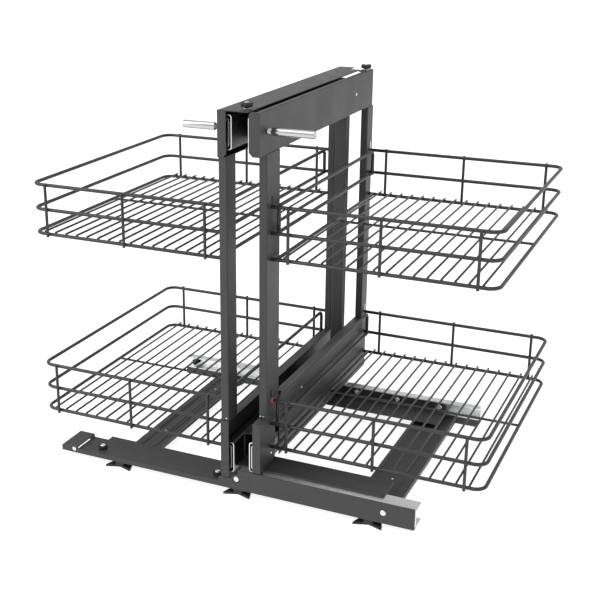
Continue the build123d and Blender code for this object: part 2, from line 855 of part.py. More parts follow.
def rivet_on_front(x, y, z):
    """A small head on the front of a post."""
    return cylinder_y(x, y - small_rivet_height, y, z, small_rivet_r)


def right_frame_rivets():
    places = ((right_plate_y + plate_rivet_setback, right_plate_top_z - plate_rivet_drop),
              (rear_y - rear_rivet_setback, right_plate_top_z - rear_rivet_drop),
              (rear_y - channel_rivet_setback, frame_top_z - right_channel_height / 2),
              (front_y + right_bracket_depth - bracket_rivet_setback,
               right_frame_bottom_z + bracket_rivet_rise))
    heads = [rivet_on_side(1, y, z, rivet_r) for y, z in places]
    for index in range(2):
        x = post_x + right_small_rivet_inset + index * right_small_rivet_pitch
        heads.append(rivet_on_front(x, right_front_post_y, right_bracket_top_z + small_rivet_rise))
    return solids_of(*heads)


def left_frame_rivets():
    x = left_small_rivet_inset - frame_outer_x
    return solids_of(rivet_on_front(x, left_front_post_y, left_rail_top_z + small_rivet_rise))


def handle_pin(side, y, z, length):
    """A round bar with a thinner neck where it screws into the frame."""
    x = side * frame_outer_x
    neck_end = x + side * pin_neck
    end = x + side * length
    bar = cylinder_x(*sorted((neck_end, end)), y, z, pin_r)
    bar = fillet(bar.edges().filter_by(GeomType.CIRCLE), pin_edge)
    return bar + cylinder_x(*sorted((x, neck_end)), y, z, pin_neck_r)


def knob(x, y):
    """A lobed knob on its stem, with an insert in its top, a washer above the sheet that it turns
    in and a collar under it."""
    seat = frame_top_z
    under = seat - frame_sheet
    cap = cylinder_z(x, y, seat + knob_lift, seat + knob_lift + knob_height, knob_r)
    for index in range(knob_lobes):
        angle = radians(360 / knob_lobes * index)
        reach = knob_r + knob_scallop_reach
        cap -= cylinder_z(x + reach * cos(angle), y + reach * sin(angle), seat + knob_lift,
                          seat + knob_lift + knob_height, knob_scallop_r)
    cap = fillet(cap.edges().group_by(Axis.Z)[-1], knob_edge)
    top = seat + knob_lift + knob_height
    insert = cylinder_z(x, y, top, top + knob_insert, knob_insert_r)
    washer = cylinder_z(x, y, seat + knob_play, seat + knob_play + knob_collar, knob_collar_r)
    collar_top = under - knob_play
    stem = cylinder_z(x, y, collar_top - knob_collar, seat + knob_lift, knob_stem_r)
    collar = cylinder_z(x, y, collar_top - knob_collar, collar_top, knob_collar_r)
    return cap + insert + washer + stem + collar


# Baskets, drawn on the right-hand side with the top ring at z = 0 and the front wire at y = 0.
# Each wire is a solid of its own, and crossing wires touch where they are spot-welded
def wire(points, d, radius):
    """A round wire along straight runs with round bends."""
    path = FilletPolyline(*points, radius=radius) if len(points) > 2 else Line(*points)
    start = Plane(origin=path @ 0, z_dir=path % 0)
    return sweep(start * Circle(d / 2), path=path)


def basket_rings():
    rings = []
    for level in range(3):
        z = -ring_step * level
        x0 = frame_outer_x - (hook_depth if level == 0 else 0)
        rings.append(wire([(x0, 0, z), (ring_x, 0, z), (ring_x, basket_depth, z),
                           (x0, basket_depth, z)], wire_d, basket_corner_r))
    return rings


def basket_uprights():
    z0 = -2 * ring_step - upright_under
    z1 = upright_over
    touch = (wire_d + upright_d) / 2
    rods = []
    for index in range(basket_upright_count):
        x = frame_outer_x + basket_upright_inset + index * basket_upright_pitch
        for y in (-touch, basket_depth + touch):
            rods.append(cylinder_z(x, y, z0, z1, upright_d / 2))
    return rods


def inner_rails():
    """Three wires along the frame side; the top one bends down to the middle one at both ends."""
    touch = wire_d / 2
    y0 = inner_rail_end
    y1 = basket_depth - inner_rail_end
    foot_z = touch - ring_step
    rails = [wire([(rail_x, y0, foot_z), (rail_x, y0, 0), (rail_x, y1, 0), (rail_x, y1, foot_z)],
                  wire_d, basket_corner_r / 2)]
    for level in range(1, 3):
        z = -ring_step * level
        rails.append(wire([(rail_x, touch, z), (rail_x, basket_depth - touch, z)], wire_d, 0))
    return rails


def floor_rods():
    """Thin rods that lie on the lowest ring, and one cross wire under them."""
    bearing_z = wire_d / 2 - 2 * ring_step
    rod_z = bearing_z + rod_d / 2
    count = int((ring_x - frame_outer_x - rod_inset - wire_d) / rod_pitch) + 1
    rods = []
    for index in range(count):
        x = frame_outer_x + rod_inset + index * rod_pitch
        rods.append(wire([(x, -rod_front_overhang, rod_z),
                          (x, basket_depth + rod_rear_overhang, rod_z)], rod_d, 0))
    cross_y = basket_depth * cross_wire_share
    cross_z = bearing_z - cross_wire_d / 2
    rods.append(wire([(rail_x + wire_d / 2, cross_y, cross_z),
                      (ring_x - wire_d / 2, cross_y, cross_z)], cross_wire_d, 0))
    return rods


def basket():
    return basket_rings() + basket_uprights() + inner_rails() + floor_rods()


def wire_cap():
    """A plastic sleeve on the top front wire of the lower right basket, against the post."""
    x0, x1 = frame_outer_x, frame_outer_x + cap_length
    sleeve = cylinder_x(x0, x1, right_basket_front_y, lower_basket_z, cap_r)
    return sleeve - cylinder_x(x0, x1, right_basket_front_y, lower_basket_z, wire_d / 2)


# Write every piece
save("base_front_bar", front_bar())
save("base_middle_bracket", middle_bracket())
save("base_left_plate", left_plate())
save("base_end_box", end_box())
save("left_cross_plate", left_cross_plate())
save("right_cross_plate", right_cross_plate())
save("base_rear_bar", rear_bar())
save("front_track", front_track())
save("rear_track", rear_track())
save("track_bumper", track_bumper())
save("base_feet", feet())
save("base_screws", base_screws())
save("rubber_bushes", rubber_bushes())

save("lower_beam", beam(lower_beam_front_y, beam_z))
save("upper_beam", beam(upper_beam_front_y, upper_beam_z))
save("carriage_upright", carriage_upright())
save("front_wing", front_wing())
save("rear_wing", rear_wing())
save("front_roller_axles", front_axles())
save("rear_roller_axles", rear_axles())
for number in range(2):
    x = front_roller_x + number * front_roller_pitch
    save("front_roller_" + str(number + 1), roller(x, front_roller_y, front_roller_z,
                                                   front_roller_r))
for number in range(3):
    x = rear_roller_x + number * rear_roller_pitch
    save("rear_roller_" + str(number + 1), roller(x, rear_roller_y, rear_roller_z,
                                                  rear_roller_r))

slides = (("right_upper", right_slides_y, upper_slide_z), ("right_lower", right_slides_y,
                                                           right_lower_slide_z),
          ("left_upper", left_slides_y, upper_slide_z), ("left_lower", left_slides_y,
                                                         left_lower_slide_z))
rows = {"right": [], "left": []}
for name, y, z in slides:
    hand = name.split("_")[0]
    members = {"outer": slide_outer(y, z), "middle": slide_middle(y, z),
               "inner": slide_inner(y, z)}
    for member, shape in members.items():
        save(name + "_slide_" + member, shape if hand == "right" else mirrored(shape))
    rows[hand] += ball_rows(y, z)
save("right_ball_retainers", solids_of(*rows["right"]))
save("left_ball_retainers", solids_of(*[mirrored(row) for row in rows["left"]]))

save("right_top_channel", right_top_channel())
save("right_front_post", right_front_post())
save("right_rear_post", right_rear_post())
save("right_front_bracket", right_front_bracket())
save("right_bottom_plate", right_bottom_plate())
save("right_frame_rivets", right_frame_rivets())
save("right_handle_pin", handle_pin(1, front_y + right_pin_setback,
                                    frame_top_z - right_pin_drop, right_pin_length))
save("left_top_cover", left_top_cover())
save("left_front_post", left_front_post())
save("left_rear_post", left_rear_post())
save("left_bottom_rail", left_bottom_rail())
save("left_frame_rivets", left_frame_rivets())
save("left_handle_pin", handle_pin(-1, front_y + left_pin_setback,
                                   frame_top_z - left_pin_drop, left_pin_length))
save("front_knob", knob(front_knob_x, front_knob_y))
save("rear_knob", knob(rear_knob_x, rear_knob_y))

right_basket = solids_of(*basket())
left_basket = solids_of(*[mirrored(piece) for piece in basket()])
for level, z in (("upper", upper_basket_z), ("lower", lower_basket_z)):
    save("right_" + level + "_basket", Pos(0, right_basket_front_y, z) * right_basket)
    save("left_" + level + "_basket", Pos(0, left_basket_front_y, z) * left_basket)
save("basket_wire_cap", wire_cap())
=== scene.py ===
from math import cos, pi, radians, sin

import bmesh
import bpy
import numpy as np
from mathutils import Matrix, Vector


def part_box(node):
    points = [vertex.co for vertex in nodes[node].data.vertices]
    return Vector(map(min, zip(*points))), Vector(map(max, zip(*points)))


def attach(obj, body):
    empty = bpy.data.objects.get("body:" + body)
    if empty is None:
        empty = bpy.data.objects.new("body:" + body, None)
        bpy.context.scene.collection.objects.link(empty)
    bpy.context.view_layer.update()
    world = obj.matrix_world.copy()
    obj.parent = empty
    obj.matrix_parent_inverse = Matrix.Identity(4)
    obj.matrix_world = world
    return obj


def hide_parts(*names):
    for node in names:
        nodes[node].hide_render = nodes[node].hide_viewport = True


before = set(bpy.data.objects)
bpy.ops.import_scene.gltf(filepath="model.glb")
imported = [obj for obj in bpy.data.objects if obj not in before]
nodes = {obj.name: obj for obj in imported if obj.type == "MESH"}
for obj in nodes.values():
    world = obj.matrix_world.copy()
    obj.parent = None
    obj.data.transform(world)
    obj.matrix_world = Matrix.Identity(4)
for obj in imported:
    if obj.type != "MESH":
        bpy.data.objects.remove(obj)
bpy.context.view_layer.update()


# Base sheet metal: the front bar with its bracket, the left plate with the raised end box, the
# cross plates and the rear bar. Laser-cut and folded steel, powder-coated graphite grey.
def linear(code):
    """An sRGB hex colour as linear red, green, blue and alpha."""
    parts = [int(code[i:i + 2], 16) / 255 for i in (1, 3, 5)]
    return [c / 12.92 if c < 0.04045 else ((c + 0.055) / 1.055) ** 2.4 for c in parts] + [1.0]


def add_node(tree, kind, values=None, links=None):
    """One shader node with its settings, its socket values and the sockets that feed it."""
    made = tree.nodes.new(kind)
    for key, value in (values or {}).items():
        if isinstance(key, int) or key in made.inputs:
            made.inputs[key].default_value = value
        else:
            setattr(made, key, value)
    for key, source in (links or {}).items():
        tree.links.new(source, made.inputs[key])
    return made


def new_finish(name):
    """An empty material and its tree, with the object's own coordinates as a start."""
    finish = bpy.data.materials.new(name)
    finish.use_nodes = True
    tree = finish.node_tree
    tree.nodes.clear()
    place = add_node(tree, "ShaderNodeTexCoord").outputs["Object"]
    return finish, tree, place


def noise(tree, place, size_mm, detail, roughness=0.5):
    """Soft noise with features of a size in millimetres."""
    values = {"Scale": 1000 / size_mm, "Detail": detail, "Roughness": roughness}
    return add_node(tree, "ShaderNodeTexNoise", values, {"Vector": place}).outputs["Fac"]


def spread(tree, value, low, high, from_low=0.3, from_high=0.7):
    """A value carried to the range low to high, from the range that noise keeps to or another."""
    values = {"From Min": from_low, "From Max": from_high, "To Min": low, "To Max": high}
    return add_node(tree, "ShaderNodeMapRange", values, {"Value": value}).outputs["Result"]


def between(tree, first, second, share):
    """A colour between two sRGB hex codes."""
    values = {"data_type": "RGBA", 6: linear(first), 7: linear(second)}
    return add_node(tree, "ShaderNodeMix", values, {0: share}).outputs[2]


def skin(tree, settings, colour, roughness, height, strength, depth, links=None):
    """The principled surface of a finish, over a bump made from a height."""
    bump = add_node(tree, "ShaderNodeBump", {"Strength": strength, "Distance": depth},
                    {"Height": height, **(links or {})})
    surface = add_node(tree, "ShaderNodeBsdfPrincipled", settings,
                       {"Base Color": colour, "Roughness": roughness, "Normal": bump.outputs["Normal"]})
    add_node(tree, "ShaderNodeOutputMaterial", None, {"Surface": surface.outputs["BSDF"]})


def powder_coat(name, colour, wear_and_highlight_colour, roughness, soft_edge):
    """Polyester powder coat, sprayed and baked. The eye sees a satin grey with a fine orange
    peel and a slow drift of tone. Each cut edge is painted paler: partly coat wear over the edge, partly a
    painted highlight of the edge catching the light."""
    drift_mm, peel_mm, grain_mm = 70.0, 1.6, 0.45
    level_dot, edge_dot, wear_and_highlight_most = 0.995, 0.86, 0.55
    finish, tree, place = new_finish(name)
    drift = noise(tree, place, drift_mm, 3.0)
    peel = noise(tree, place, peel_mm, 2.0)
    grain = noise(tree, place, grain_mm, 1.0)
    height = add_node(tree, "ShaderNodeMath", {"operation": "MULTIPLY_ADD", 1: 0.4}, {0: grain, 2: peel})
    edge = add_node(tree, "ShaderNodeBevel", {"samples": 4, "Radius": soft_edge}).outputs["Normal"]
    flat = add_node(tree, "ShaderNodeNewGeometry").outputs["True Normal"]
    turn = add_node(tree, "ShaderNodeVectorMath", {"operation": "DOT_PRODUCT"}, {0: edge, 1: flat})
    # Painted highlight, partly edge wear: the bevel mask mixes the paler edge colour in along each cut
    # edge.
    wear_and_highlight_share = spread(tree, turn.outputs["Value"], 0.0, wear_and_highlight_most, level_dot, edge_dot)
    tone = spread(tree, drift, 0.86, 1.12)
    speck = spread(tree, grain, 0.93, 1.07, 0.35, 0.65)
    shade = add_node(tree, "ShaderNodeMath", {"operation": "MULTIPLY"}, {0: tone, 1: speck})
    shaded = add_node(tree, "ShaderNodeVectorMath", {"operation": "SCALE"},
                      {0: between(tree, colour, wear_and_highlight_colour, wear_and_highlight_share), "Scale": shade.outputs["Value"]})
    gloss = spread(tree, drift, roughness - 0.05, roughness + 0.07)
    skin(tree, {"IOR": 1.5}, shaded.outputs["Vector"], gloss, height.outputs["Value"], 0.22, 0.0002,
         {"Normal": edge})
    return finish


def finish_nodes(finish, names):
    """Gives CAD nodes their finish, in the material slots they already have."""
    for name in names:
        for place in nodes[name].material_slots:
            place.material = finish


# The second colour is painted along the cut edges: partly coat wear, partly a painted highlight.
graphite_coat = powder_coat("graphite_powder_coat", "#2e2e2f", "#5c5c5d", 0.48, 0.0007)
finish_nodes(graphite_coat, ("base_front_bar", "base_middle_bracket", "base_left_plate",
                             "base_end_box", "left_cross_plate", "right_cross_plate",
                             "base_rear_bar"))


# Feet: flat four-pointed pads under the base, injection-moulded in black plastic. A block on
# each one reaches up to the base, and the rims are rounded by the mould.
def joined(parts):
    """Several (points, faces) meshes as one."""
    points, faces, start = [], [], 0
    for part_points, part_faces in parts:
        points.append(part_points)
        faces += [[start + corner for corner in face] for face in part_faces]
        start += len(part_points)
    return np.concatenate(points), faces


def grid_faces(rows, columns, caps=True):
    """Quads between rows of a grid that closes round its columns, with a flat face at each end."""
    first = np.arange(rows - 1)[:, None] * columns
    column = np.arange(columns)[None, :]
    beside = (column + 1) % columns
    quads = np.stack([first + column, first + beside, first + columns + beside,
                      first + columns + column], axis=-1).reshape(-1, 4).tolist()
    if caps:
        last = (rows - 1) * columns
        quads.append(list(range(columns))[::-1])
        quads.append(list(range(last, last + columns)))
    return quads


def piece(name, parts, finish, body, replaced=(), crease=35.0):
    """A finished piece from its meshes: normals outward, smooth but for its creases."""
    points, faces = joined(parts)
    mesh = bpy.data.meshes.new(name)
    mesh.from_pydata(points.tolist(), [], faces)
    work = bmesh.new()
    work.from_mesh(mesh)
    bmesh.ops.recalc_face_normals(work, faces=work.faces)
    work.to_mesh(mesh)
    work.free()
    mesh.shade_smooth()
    mesh.set_sharp_from_angle(angle=radians(crease))
    mesh.materials.append(finish)
    made = bpy.data.objects.new(name, mesh)
    bpy.context.scene.collection.objects.link(made)
    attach(made, body)
    if replaced:
        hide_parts(*replaced)
    return made


def moulded_plastic(name, colour, roughness, grain_mm):
    """Moulded plastic or rubber with an even spark-eroded grain: matt, with soft highlights."""
    drift_mm = 25.0
    finish, tree, place = new_finish(name)
    grain = noise(tree, place, grain_mm, 2.0)
    tone = spread(tree, noise(tree, place, drift_mm, 2.0), 0.75, 1.25)
    shaded = add_node(tree, "ShaderNodeVectorMath", {"operation": "SCALE", 0: linear(colour)[:3]},
                      {"Scale": tone})
    gloss = spread(tree, grain, roughness - 0.06, roughness + 0.06)
    skin(tree, {"IOR": 1.46}, shaded.outputs["Vector"], gloss, grain, 0.3, 0.0001)
    return finish


black_plastic = moulded_plastic("moulded_black_plastic", "#161617", 0.5, 0.5)
rim_step = 0.3
front_foot_xs = (-0.232, -0.0055, 0.2205)
foot_half, foot_notch, foot_rim = 0.025, 0.0085, 0.0012
foot_sole, foot_tip = 0.004, 0.034
boss_half, boss_reach, boss_power = 0.009, 0.0187, 8


def raised(x, y, turn, reach, low, high, rim):
    """A plan r(a) about a place, carried up a profile that rounds in at its foot and at its top. The
    middle point of each rounding has the same small share of its inset and of its rise."""
    half_way = rim_step * rim
    inset = np.array([rim, half_way, 0.0, 0.0, half_way, rim])
    level = np.array([low, low + half_way, low + rim, high - rim, high - half_way, high])
    spread = reach[None, :] - inset[:, None]
    points = np.stack([x + spread * np.cos(turn), y + spread * np.sin(turn),
                       np.repeat(level[:, None], len(turn), axis=1)], axis=-1)
    return points.reshape(-1, 3), grid_faces(len(level), len(turn))


def foot(x, y, height):
    """Sole: r = waist / (cos b - slope * sin b), with b the angle to the nearest side's middle, cut
    off at the rounded tips. Block: a superellipse of a high power, so a rounded rectangle."""
    turn = np.linspace(0, 2 * pi, 64, endpoint=False)
    nearest = np.abs((turn + pi / 4) % (pi / 2) - pi / 4)
    slope = foot_notch / foot_half
    star = (foot_half - foot_notch) / (np.cos(nearest) - slope * np.sin(nearest))
    block = (np.abs(np.cos(turn) / boss_half) ** boss_power
             + np.abs(np.sin(turn) / boss_reach) ** boss_power) ** (-1 / boss_power)
    return [raised(x, y, turn, np.minimum(star, foot_tip), 0.0, foot_sole, foot_rim),
            raised(x, y, turn, block, foot_sole - foot_rim, height, foot_rim / 2)]


foot_low, foot_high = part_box("base_feet")
feet = []
for x in front_foot_xs:
    feet += foot(x, foot_low.y + foot_half, foot_high.z)
rear_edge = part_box("base_rear_bar")[1].y
for plate in ("left_cross_plate", "right_cross_plate"):
    low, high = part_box(plate)
    feet += foot((low.x + high.x) / 2, rear_edge - foot_half, foot_high.z)
piece("base_feet_moulded", feet, black_plastic, "base", ("base_feet",))


# Tracks: two zinc-plated steel channels that open towards each other, roll-formed, with the
# marks of the roll along their length. The rollers of the carriage run inside them.
def drawn_noise(tree, place, sizes_mm, detail):
    """Noise drawn out into streaks, with a feature size in millimetres for each axis."""
    values = {"Scale": [1000 / size for size in sizes_mm]}
    line = add_node(tree, "ShaderNodeMapping", values, {"Vector": place}).outputs["Vector"]
    return add_node(tree, "ShaderNodeTexNoise", {"Scale": 1.0, "Detail": detail},
                    {"Vector": line}).outputs["Fac"]


def plated_steel(name, colour, dark, roughness, streaks_mm, cloud_gloss=0.1):
    """Bright zinc plating on cold-rolled steel: metallic and pale, with fine rolling streaks along
    the strip and cloudy patches where the passivation took differently."""
    cloud_mm = 9.0
    finish, tree, place = new_finish(name)
    streak = drawn_noise(tree, place, streaks_mm, 3.0)
    cloud = noise(tree, place, cloud_mm, 4.0, 0.6)
    blend = add_node(tree, "ShaderNodeMath", {"operation": "MULTIPLY_ADD", 1: 0.45}, {0: cloud, 2: streak})
    share = spread(tree, blend.outputs["Value"], 0.0, 1.0, 0.55, 0.9)
    gloss = spread(tree, cloud, roughness - cloud_gloss, roughness + cloud_gloss)
    skin(tree, {"Metallic": 1.0}, between(tree, dark, colour, share), gloss, streak, 0.25, 0.00008)
    return finish


track_zinc = plated_steel("bright_zinc_strip", "#f4f5f5", "#e0e2e4", 0.42, (90.0, 1.2, 1.2), 0.03)
finish_nodes(track_zinc, ("front_track", "rear_track"))


# Rubber: the stop in the rear track, and the two bushes that the left plate's screws hold down.
# Turned or moulded rings with a rounded rim.
def axes_about(axis):
    """A unit vector along an axis, and two more that are square to it and to each other."""
    away = Vector(axis).normalized()
    across = away.orthogonal().normalized()
    return np.array(away), np.array(across), np.array(away.cross(across))


def turned(profile, centre, axis, sides=32, around=None):
    """A surface of revolution: at height h along the axis the radius is r(h), for each (h, r) of
    the profile, from one end to the other. A function of the angle may scale the radius."""
    away, across, third = axes_about(axis)
    turn = np.linspace(0, 2 * pi, sides, endpoint=False)
    heights, radii = np.array(profile, float).T
    spin = radii[:, None] * (around(turn)[None, :] if around else 1.0)
    points = (np.array(centre)[None, None, :] + heights[:, None, None] * away
              + spin[..., None] * (np.cos(turn)[None, :, None] * across
                                   + np.sin(turn)[None, :, None] * third))
    return points.reshape(-1, 3), grid_faces(len(heights), sides)


def rounded_rod(length, radius, rim, steps=4):
    """The (height, radius) profile of a rod with both rims rounded."""
    turn = np.linspace(0, pi / 2, steps + 1)
    low = np.stack([rim * (1 - np.cos(turn)), radius - rim * (1 - np.sin(turn))], axis=-1)
    high = low[::-1] * [-1, 1] + [length, 0]
    return np.concatenate([low, high])


black_rubber = moulded_plastic("black_rubber", "#0e0e0e", 0.72, 0.35)
bumper_rim = 0.0012
low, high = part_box("track_bumper")
bumper_at = ((low.x + high.x) / 2, low.y, (low.z + high.z) / 2)
bumper = turned(rounded_rod(high.y - low.y, (high.x - low.x) / 2, bumper_rim), bumper_at, (0, 1, 0))
piece("track_bumper_rubber", [bumper], black_rubber, "base", ("track_bumper",))

bush_rim, bush_steps, bush_waist = 0.0021, 5, 0.0004
bush_seat, bush_dish, bush_slope = 0.0047, 0.0009, 0.0008
bush_low, bush_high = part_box("rubber_bushes")
bush_y = (bush_low.y + bush_high.y) / 2
bush_r = (bush_high.y - bush_low.y) / 2
bush_height = bush_high.z - bush_low.z
bush_xs = (bush_low.x + bush_r, bush_high.x - bush_r)
waist = rounded_rod(bush_height, bush_r, bush_rim, bush_steps)
waist[bush_steps:bush_steps + 2, 1] -= bush_waist
dished = np.concatenate([waist, [(bush_height, bush_seat + bush_slope),
                                 (bush_height - bush_dish, bush_seat)]])
bushes = [turned(dished, (x, bush_y, bush_low.z), (0, 0, 1), 40) for x in bush_xs]
piece("rubber_bushes_moulded", bushes, black_rubber, "base", ("rubber_bushes",))


# Screws and rivets: bright zinc-plated steel. The round heads are cold-headed, with a cross
# recess pressed into the top, and the rivets are plain domes.
head_brim, head_recess, arm_share, recess_share, recess_fall = 0.25, 0.0011, 0.13, 0.5, 30


def screw_head(centre, axis, radius, height, recess):
    """A dome z(r) = h * (b + (1 - b) * sqrt(1 - (r/R)^2)) above the seat, with b its brim, less a
    cross-shaped dip that falls off with the distance from either arm and towards the brim."""
    away, across, third = axes_about(axis)
    turn = np.linspace(0, 2 * pi, 48, endpoint=False)
    share = np.sin(np.linspace(0.02, pi / 2, 14))[:, None]
    u, v = share * np.cos(turn) * radius, share * np.sin(turn) * radius
    dome = height * (head_brim + (1 - head_brim) * np.sqrt(np.clip(1 - share ** 2, 0, 1)))
    arm = radius * arm_share
    cross = np.maximum(np.exp(-(u / arm) ** 4), np.exp(-(v / arm) ** 4))
    inside = 1 / (1 + np.exp((share - recess_share) * recess_fall))
    lift = dome * np.ones_like(turn) - recess * cross * inside
    skirt = np.zeros((1, len(turn)))
    u, v = np.concatenate([u, u[-1:]]), np.concatenate([v, v[-1:]])
    lift = np.concatenate([lift, skirt])
    points = np.array(centre) + u[..., None] * across + v[..., None] * third + lift[..., None] * away
    return points.reshape(-1, 3), grid_faces(len(u), len(turn))


screw_steel = plated_steel("bright_screw_steel", "#f4f4f2", "#d6d6d4", 0.3, (0.6, 0.6, 90.0))
base_head = (0.0046, 0.0018, head_recess)
shank_r, shank_rim = 0.0025, 0.0003
bar_screw_x, recess_screw_x, front_screw_z, recess_depth = 0.2443, -0.008, 0.0287, 0.001
bar_face_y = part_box("base_front_bar")[0].y
recess_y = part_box("base_middle_bracket")[0].y + recess_depth
shank_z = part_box("base_screws")[0].z
heads = [screw_head((bar_screw_x, bar_face_y, front_screw_z), (0, -1, 0), *base_head),
         screw_head((recess_screw_x, recess_y, front_screw_z), (0, -1, 0), *base_head)]
for x in bush_xs:
    heads.append(screw_head((x, bush_y, bush_high.z), (0, 0, 1), *base_head))
    shank = rounded_rod(bush_high.z - shank_z, shank_r, shank_rim)
    heads.append(turned(shank, (x, bush_y, shank_z), (0, 0, 1), 20))
piece("base_screws_headed", heads, screw_steel, "base", ("base_screws",))


# Carriage: two box beams and an upright between them, on a front wing and a rear wing. Folded
# and welded steel with the same graphite coat. Screw tips show inside the beams.
finish_nodes(graphite_coat, ("lower_beam", "upper_beam", "carriage_upright", "front_wing", "rear_wing"))
tip_r, tip_length, tip_inset, tip_rim = 0.0024, 0.0045, 0.002, 0.0009
tip_setbacks = {"upper_beam": (0.028, 0.12), "lower_beam": (0.03, 0.14)}
tips = []
for beam, setbacks in tip_setbacks.items():
    low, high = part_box(beam)
    for setback in setbacks:
        for side, x in ((1, low.x + tip_inset), (-1, high.x - tip_inset)):
            tips.append(turned(rounded_rod(tip_length, tip_r, tip_rim),
                               (x, low.y + setback, (low.z + high.z) / 2), (side, 0, 0), 16))
piece("beam_screw_tips", tips, screw_steel, "carriage")


# Rollers: nylon wheels on shoulder screws. Five turn with the carriage, in the two tracks.
def wheel(low, high):
    """A wheel profile across its width: rounded tread, sunk side faces and a raised hub."""
    radius, width = (high.x - low.x) / 2, high.y - low.y
    bore, hub, hub_slope, tread_rim = 0.0031, 0.0046, 0.0004, 0.001
    hub_step, sunk, lip_step = 0.0002, 0.0009, 0.0001
    lip, lip_slope = 0.0016, 0.0006
    side = [(hub_step, bore), (hub_step, hub), (sunk, hub + hub_slope),
            (sunk, radius - lip - lip_slope), (lip_step, radius - lip)]
    other = [(width - h, r) for h, r in side[::-1]]
    return turned(np.concatenate([side, rounded_rod(width, radius, tread_rim), other]),
                  ((low.x + high.x) / 2, low.y, (low.z + high.z) / 2), (0, 1, 0), 48)


roller_nylon = moulded_plastic("natural_nylon", "#b9b7b0", 0.42, 0.6)
rollers = ["front_roller_1", "front_roller_2", "rear_roller_1", "rear_roller_2", "rear_roller_3"]
for name in rollers:
    piece(name + "_wheel", [wheel(*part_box(name))], roller_nylon, name, (name,))

axles = {"front_roller_axles": [], "rear_roller_axles": []}
axle_r, axle_rim, axle_head_r, axle_head_height = 0.003, 0.0004, 0.005, 0.0018
for name in rollers:
    group = name.split("_")[0] + "_roller_axles"
    low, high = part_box(name)
    group_low, group_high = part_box(group)
    head_y, way = (group_high.y, -1) if name.startswith("front") else (group_low.y, 1)
    seat = ((low.x + high.x) / 2, head_y + way * axle_head_height, (low.z + high.z) / 2)
    shaft = rounded_rod(group_high.y - group_low.y - axle_head_height, axle_r, axle_rim)
    axles[group] += [screw_head(seat, (0, -way, 0), axle_head_r, axle_head_height, head_recess),
                     turned(shaft, seat, (0, way, 0), 24)]
for group, parts in axles.items():
    piece(group + "_turned", parts, screw_steel, "carriage", (group,))


# Ball-bearing slides: three roll-formed members each, with hardened balls between them in pressed
# steel retainers. Dark plated outside, with bare cut ends that show as bright lines.
def cut_end_steel(name, plated, shaded, bare, roughness):
    """Dark zinc-nickel plating with rolling streaks. Faces square to the strip are where the saw
    went through after plating, so they are bare, brighter steel."""
    finish, tree, place = new_finish(name)
    streak = drawn_noise(tree, place, (1.2, 90.0, 1.2), 3.0)
    face = add_node(tree, "ShaderNodeNewGeometry").outputs["True Normal"]
    along = add_node(tree, "ShaderNodeVectorMath", {"operation": "DOT_PRODUCT", 1: (0, 1, 0)}, {0: face})
    square = add_node(tree, "ShaderNodeMath", {"operation": "ABSOLUTE"}, {0: along.outputs["Value"]})
    cut = spread(tree, square.outputs["Value"], 0.0, 1.0, 0.9, 0.95)
    base = add_node(tree, "ShaderNodeMix", {"data_type": "RGBA", 7: linear(bare)},
                    {0: cut, 6: between(tree, shaded, plated, streak)})
    gloss = spread(tree, streak, roughness - 0.08, roughness + 0.1)
    skin(tree, {"Metallic": 1.0}, base.outputs[2], gloss, streak, 0.25, 0.00008)
    return finish


slide_zinc = cut_end_steel("dark_plated_slide_steel", "#77797b", "#4c4e50", "#e6e6e6", 0.36)
slides = ["right_upper", "right_lower", "left_upper", "left_lower"]
for name in slides:
    finish_nodes(slide_zinc, [name + "_slide_" + member for member in ("outer", "middle", "inner")])

ball_r, ball_pitch, ball_count = 0.0014, 0.012, 8
strip_half, strip_thick = 0.0025, 0.0008
outer_sheet, middle_sheet = 0.0015, 0.0012
outer_row_u, outer_web_u, inner_row_u, inner_web_u = 0.0095, 0.0023, 0.01155, 0.0063
ball_steel = plated_steel("polished_ball_steel", "#dcdcdc", "#c4c4c4", 0.14, (0.8, 90.0, 0.8))
retainer_steel = cut_end_steel("retainer_steel", "#5e5f61", "#38393a", "#d2d2d2", 0.4)


def ball(centre, radius):
    """A sphere as a turned half circle, less a tiny flat at each pole."""
    turn = np.linspace(0.06, pi - 0.06, 9)
    return turned(np.stack([-radius * np.cos(turn), radius * np.sin(turn)], axis=-1), centre, (0, 1, 0), 14)


def mirrored(half):
    """The other half of a section that is the same above and below its middle."""
    return [(u, -v) for u, v in half[::-1]]


def retainer(side, beam_x, web_u, row_u, row_v, y0, length, z):
    """A strip folded to a channel: its flanges lie in the two ball rows and its web joins them,
    with a shallow wave along the web and a chamfer at each fold."""
    t, tip_u = strip_thick, row_u + strip_half
    outer = [(tip_u, row_v - t / 2), (tip_u, row_v + t / 2), (web_u + 0.6 * t, row_v + t / 2),
             (web_u, row_v - 0.4 * t), (web_u, 0.35 * row_v), (web_u + t, 0.2 * row_v)]
    inner = [(web_u + 2 * t, 0.22 * row_v), (web_u + t, 0.38 * row_v), (web_u + t, row_v - 1.4 * t),
             (web_u + 1.8 * t, row_v - t / 2)]
    section = np.array(outer + mirrored(outer) + mirrored(inner) + inner)
    points = np.empty((2, len(section), 3))
    points[..., 0] = side * (beam_x + section[:, 0])
    points[..., 1] = np.array([y0, y0 + length])[:, None]
    points[..., 2] = z + section[:, 1]
    return points.reshape(-1, 3), grid_faces(2, len(section))


